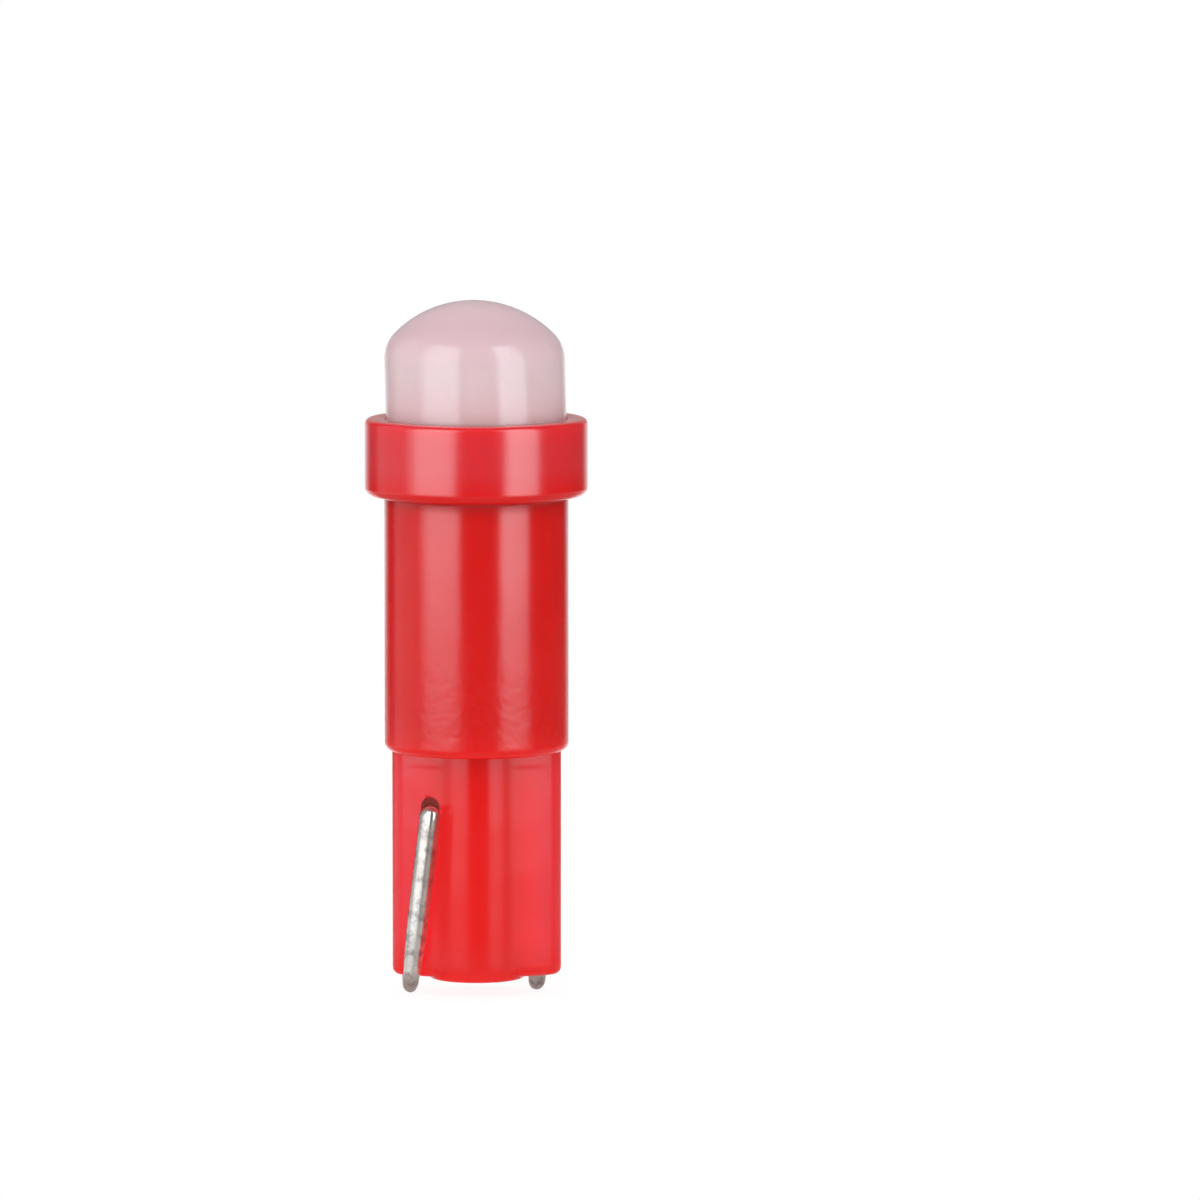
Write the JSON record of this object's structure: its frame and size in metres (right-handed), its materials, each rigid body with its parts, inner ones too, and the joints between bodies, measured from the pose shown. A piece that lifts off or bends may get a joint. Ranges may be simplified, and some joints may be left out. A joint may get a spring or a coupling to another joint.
{
  "type": "wedge led bulb",
  "caption": "Small wedge-base LED bulb: red moulded housing with a collar and barrel, milky domed diffuser, and wire leads folded round a flat wedge.",
  "frame": {"origin": "on the bulb's axis, at the foot of the wedge base that goes into the socket", "axes": "+Z along the axis towards the diffuser; X across the width of the wedge; -Y is the face with the front lead, which turns under the wedge at negative X"},
  "size_m": [0.006, 0.006, 0.0188],
  "materials": {
    "red_plastic": "moulded, glossy at the collar and duller down the barrel",
    "milky_plastic": "milky and faintly pink, glossy",
    "board": "white solder mask on glass-epoxy board",
    "copper": "bare copper",
    "led_white": "white moulded",
    "plated_terminal": "silver plated",
    "die": "polished chip",
    "gold_wire": "bright",
    "clear_gel": "clear silicone",
    "chip_ceramic": "black glazed chip",
    "solder": "bright solder",
    "tinned_wire": "tinned, drawn, slightly handled"
  },
  "bodies": {
    "root": {"housing": "red_plastic", "diffuser": "milky_plastic", "circuit_board": "board", "copper_tracks": "copper", "led_package": "led_white", "led_front_terminal": "plated_terminal", "led_rear_terminal": "plated_terminal", "led_die": "die", "bond_wire": "gold_wire", "led_gel": "clear_gel", "series_resistor": "chip_ceramic", "chip_solder": "solder", "lead_solder": "solder", "front_lead": "tinned_wire", "rear_lead": "tinned_wire"}
  },
  "joints": []
}
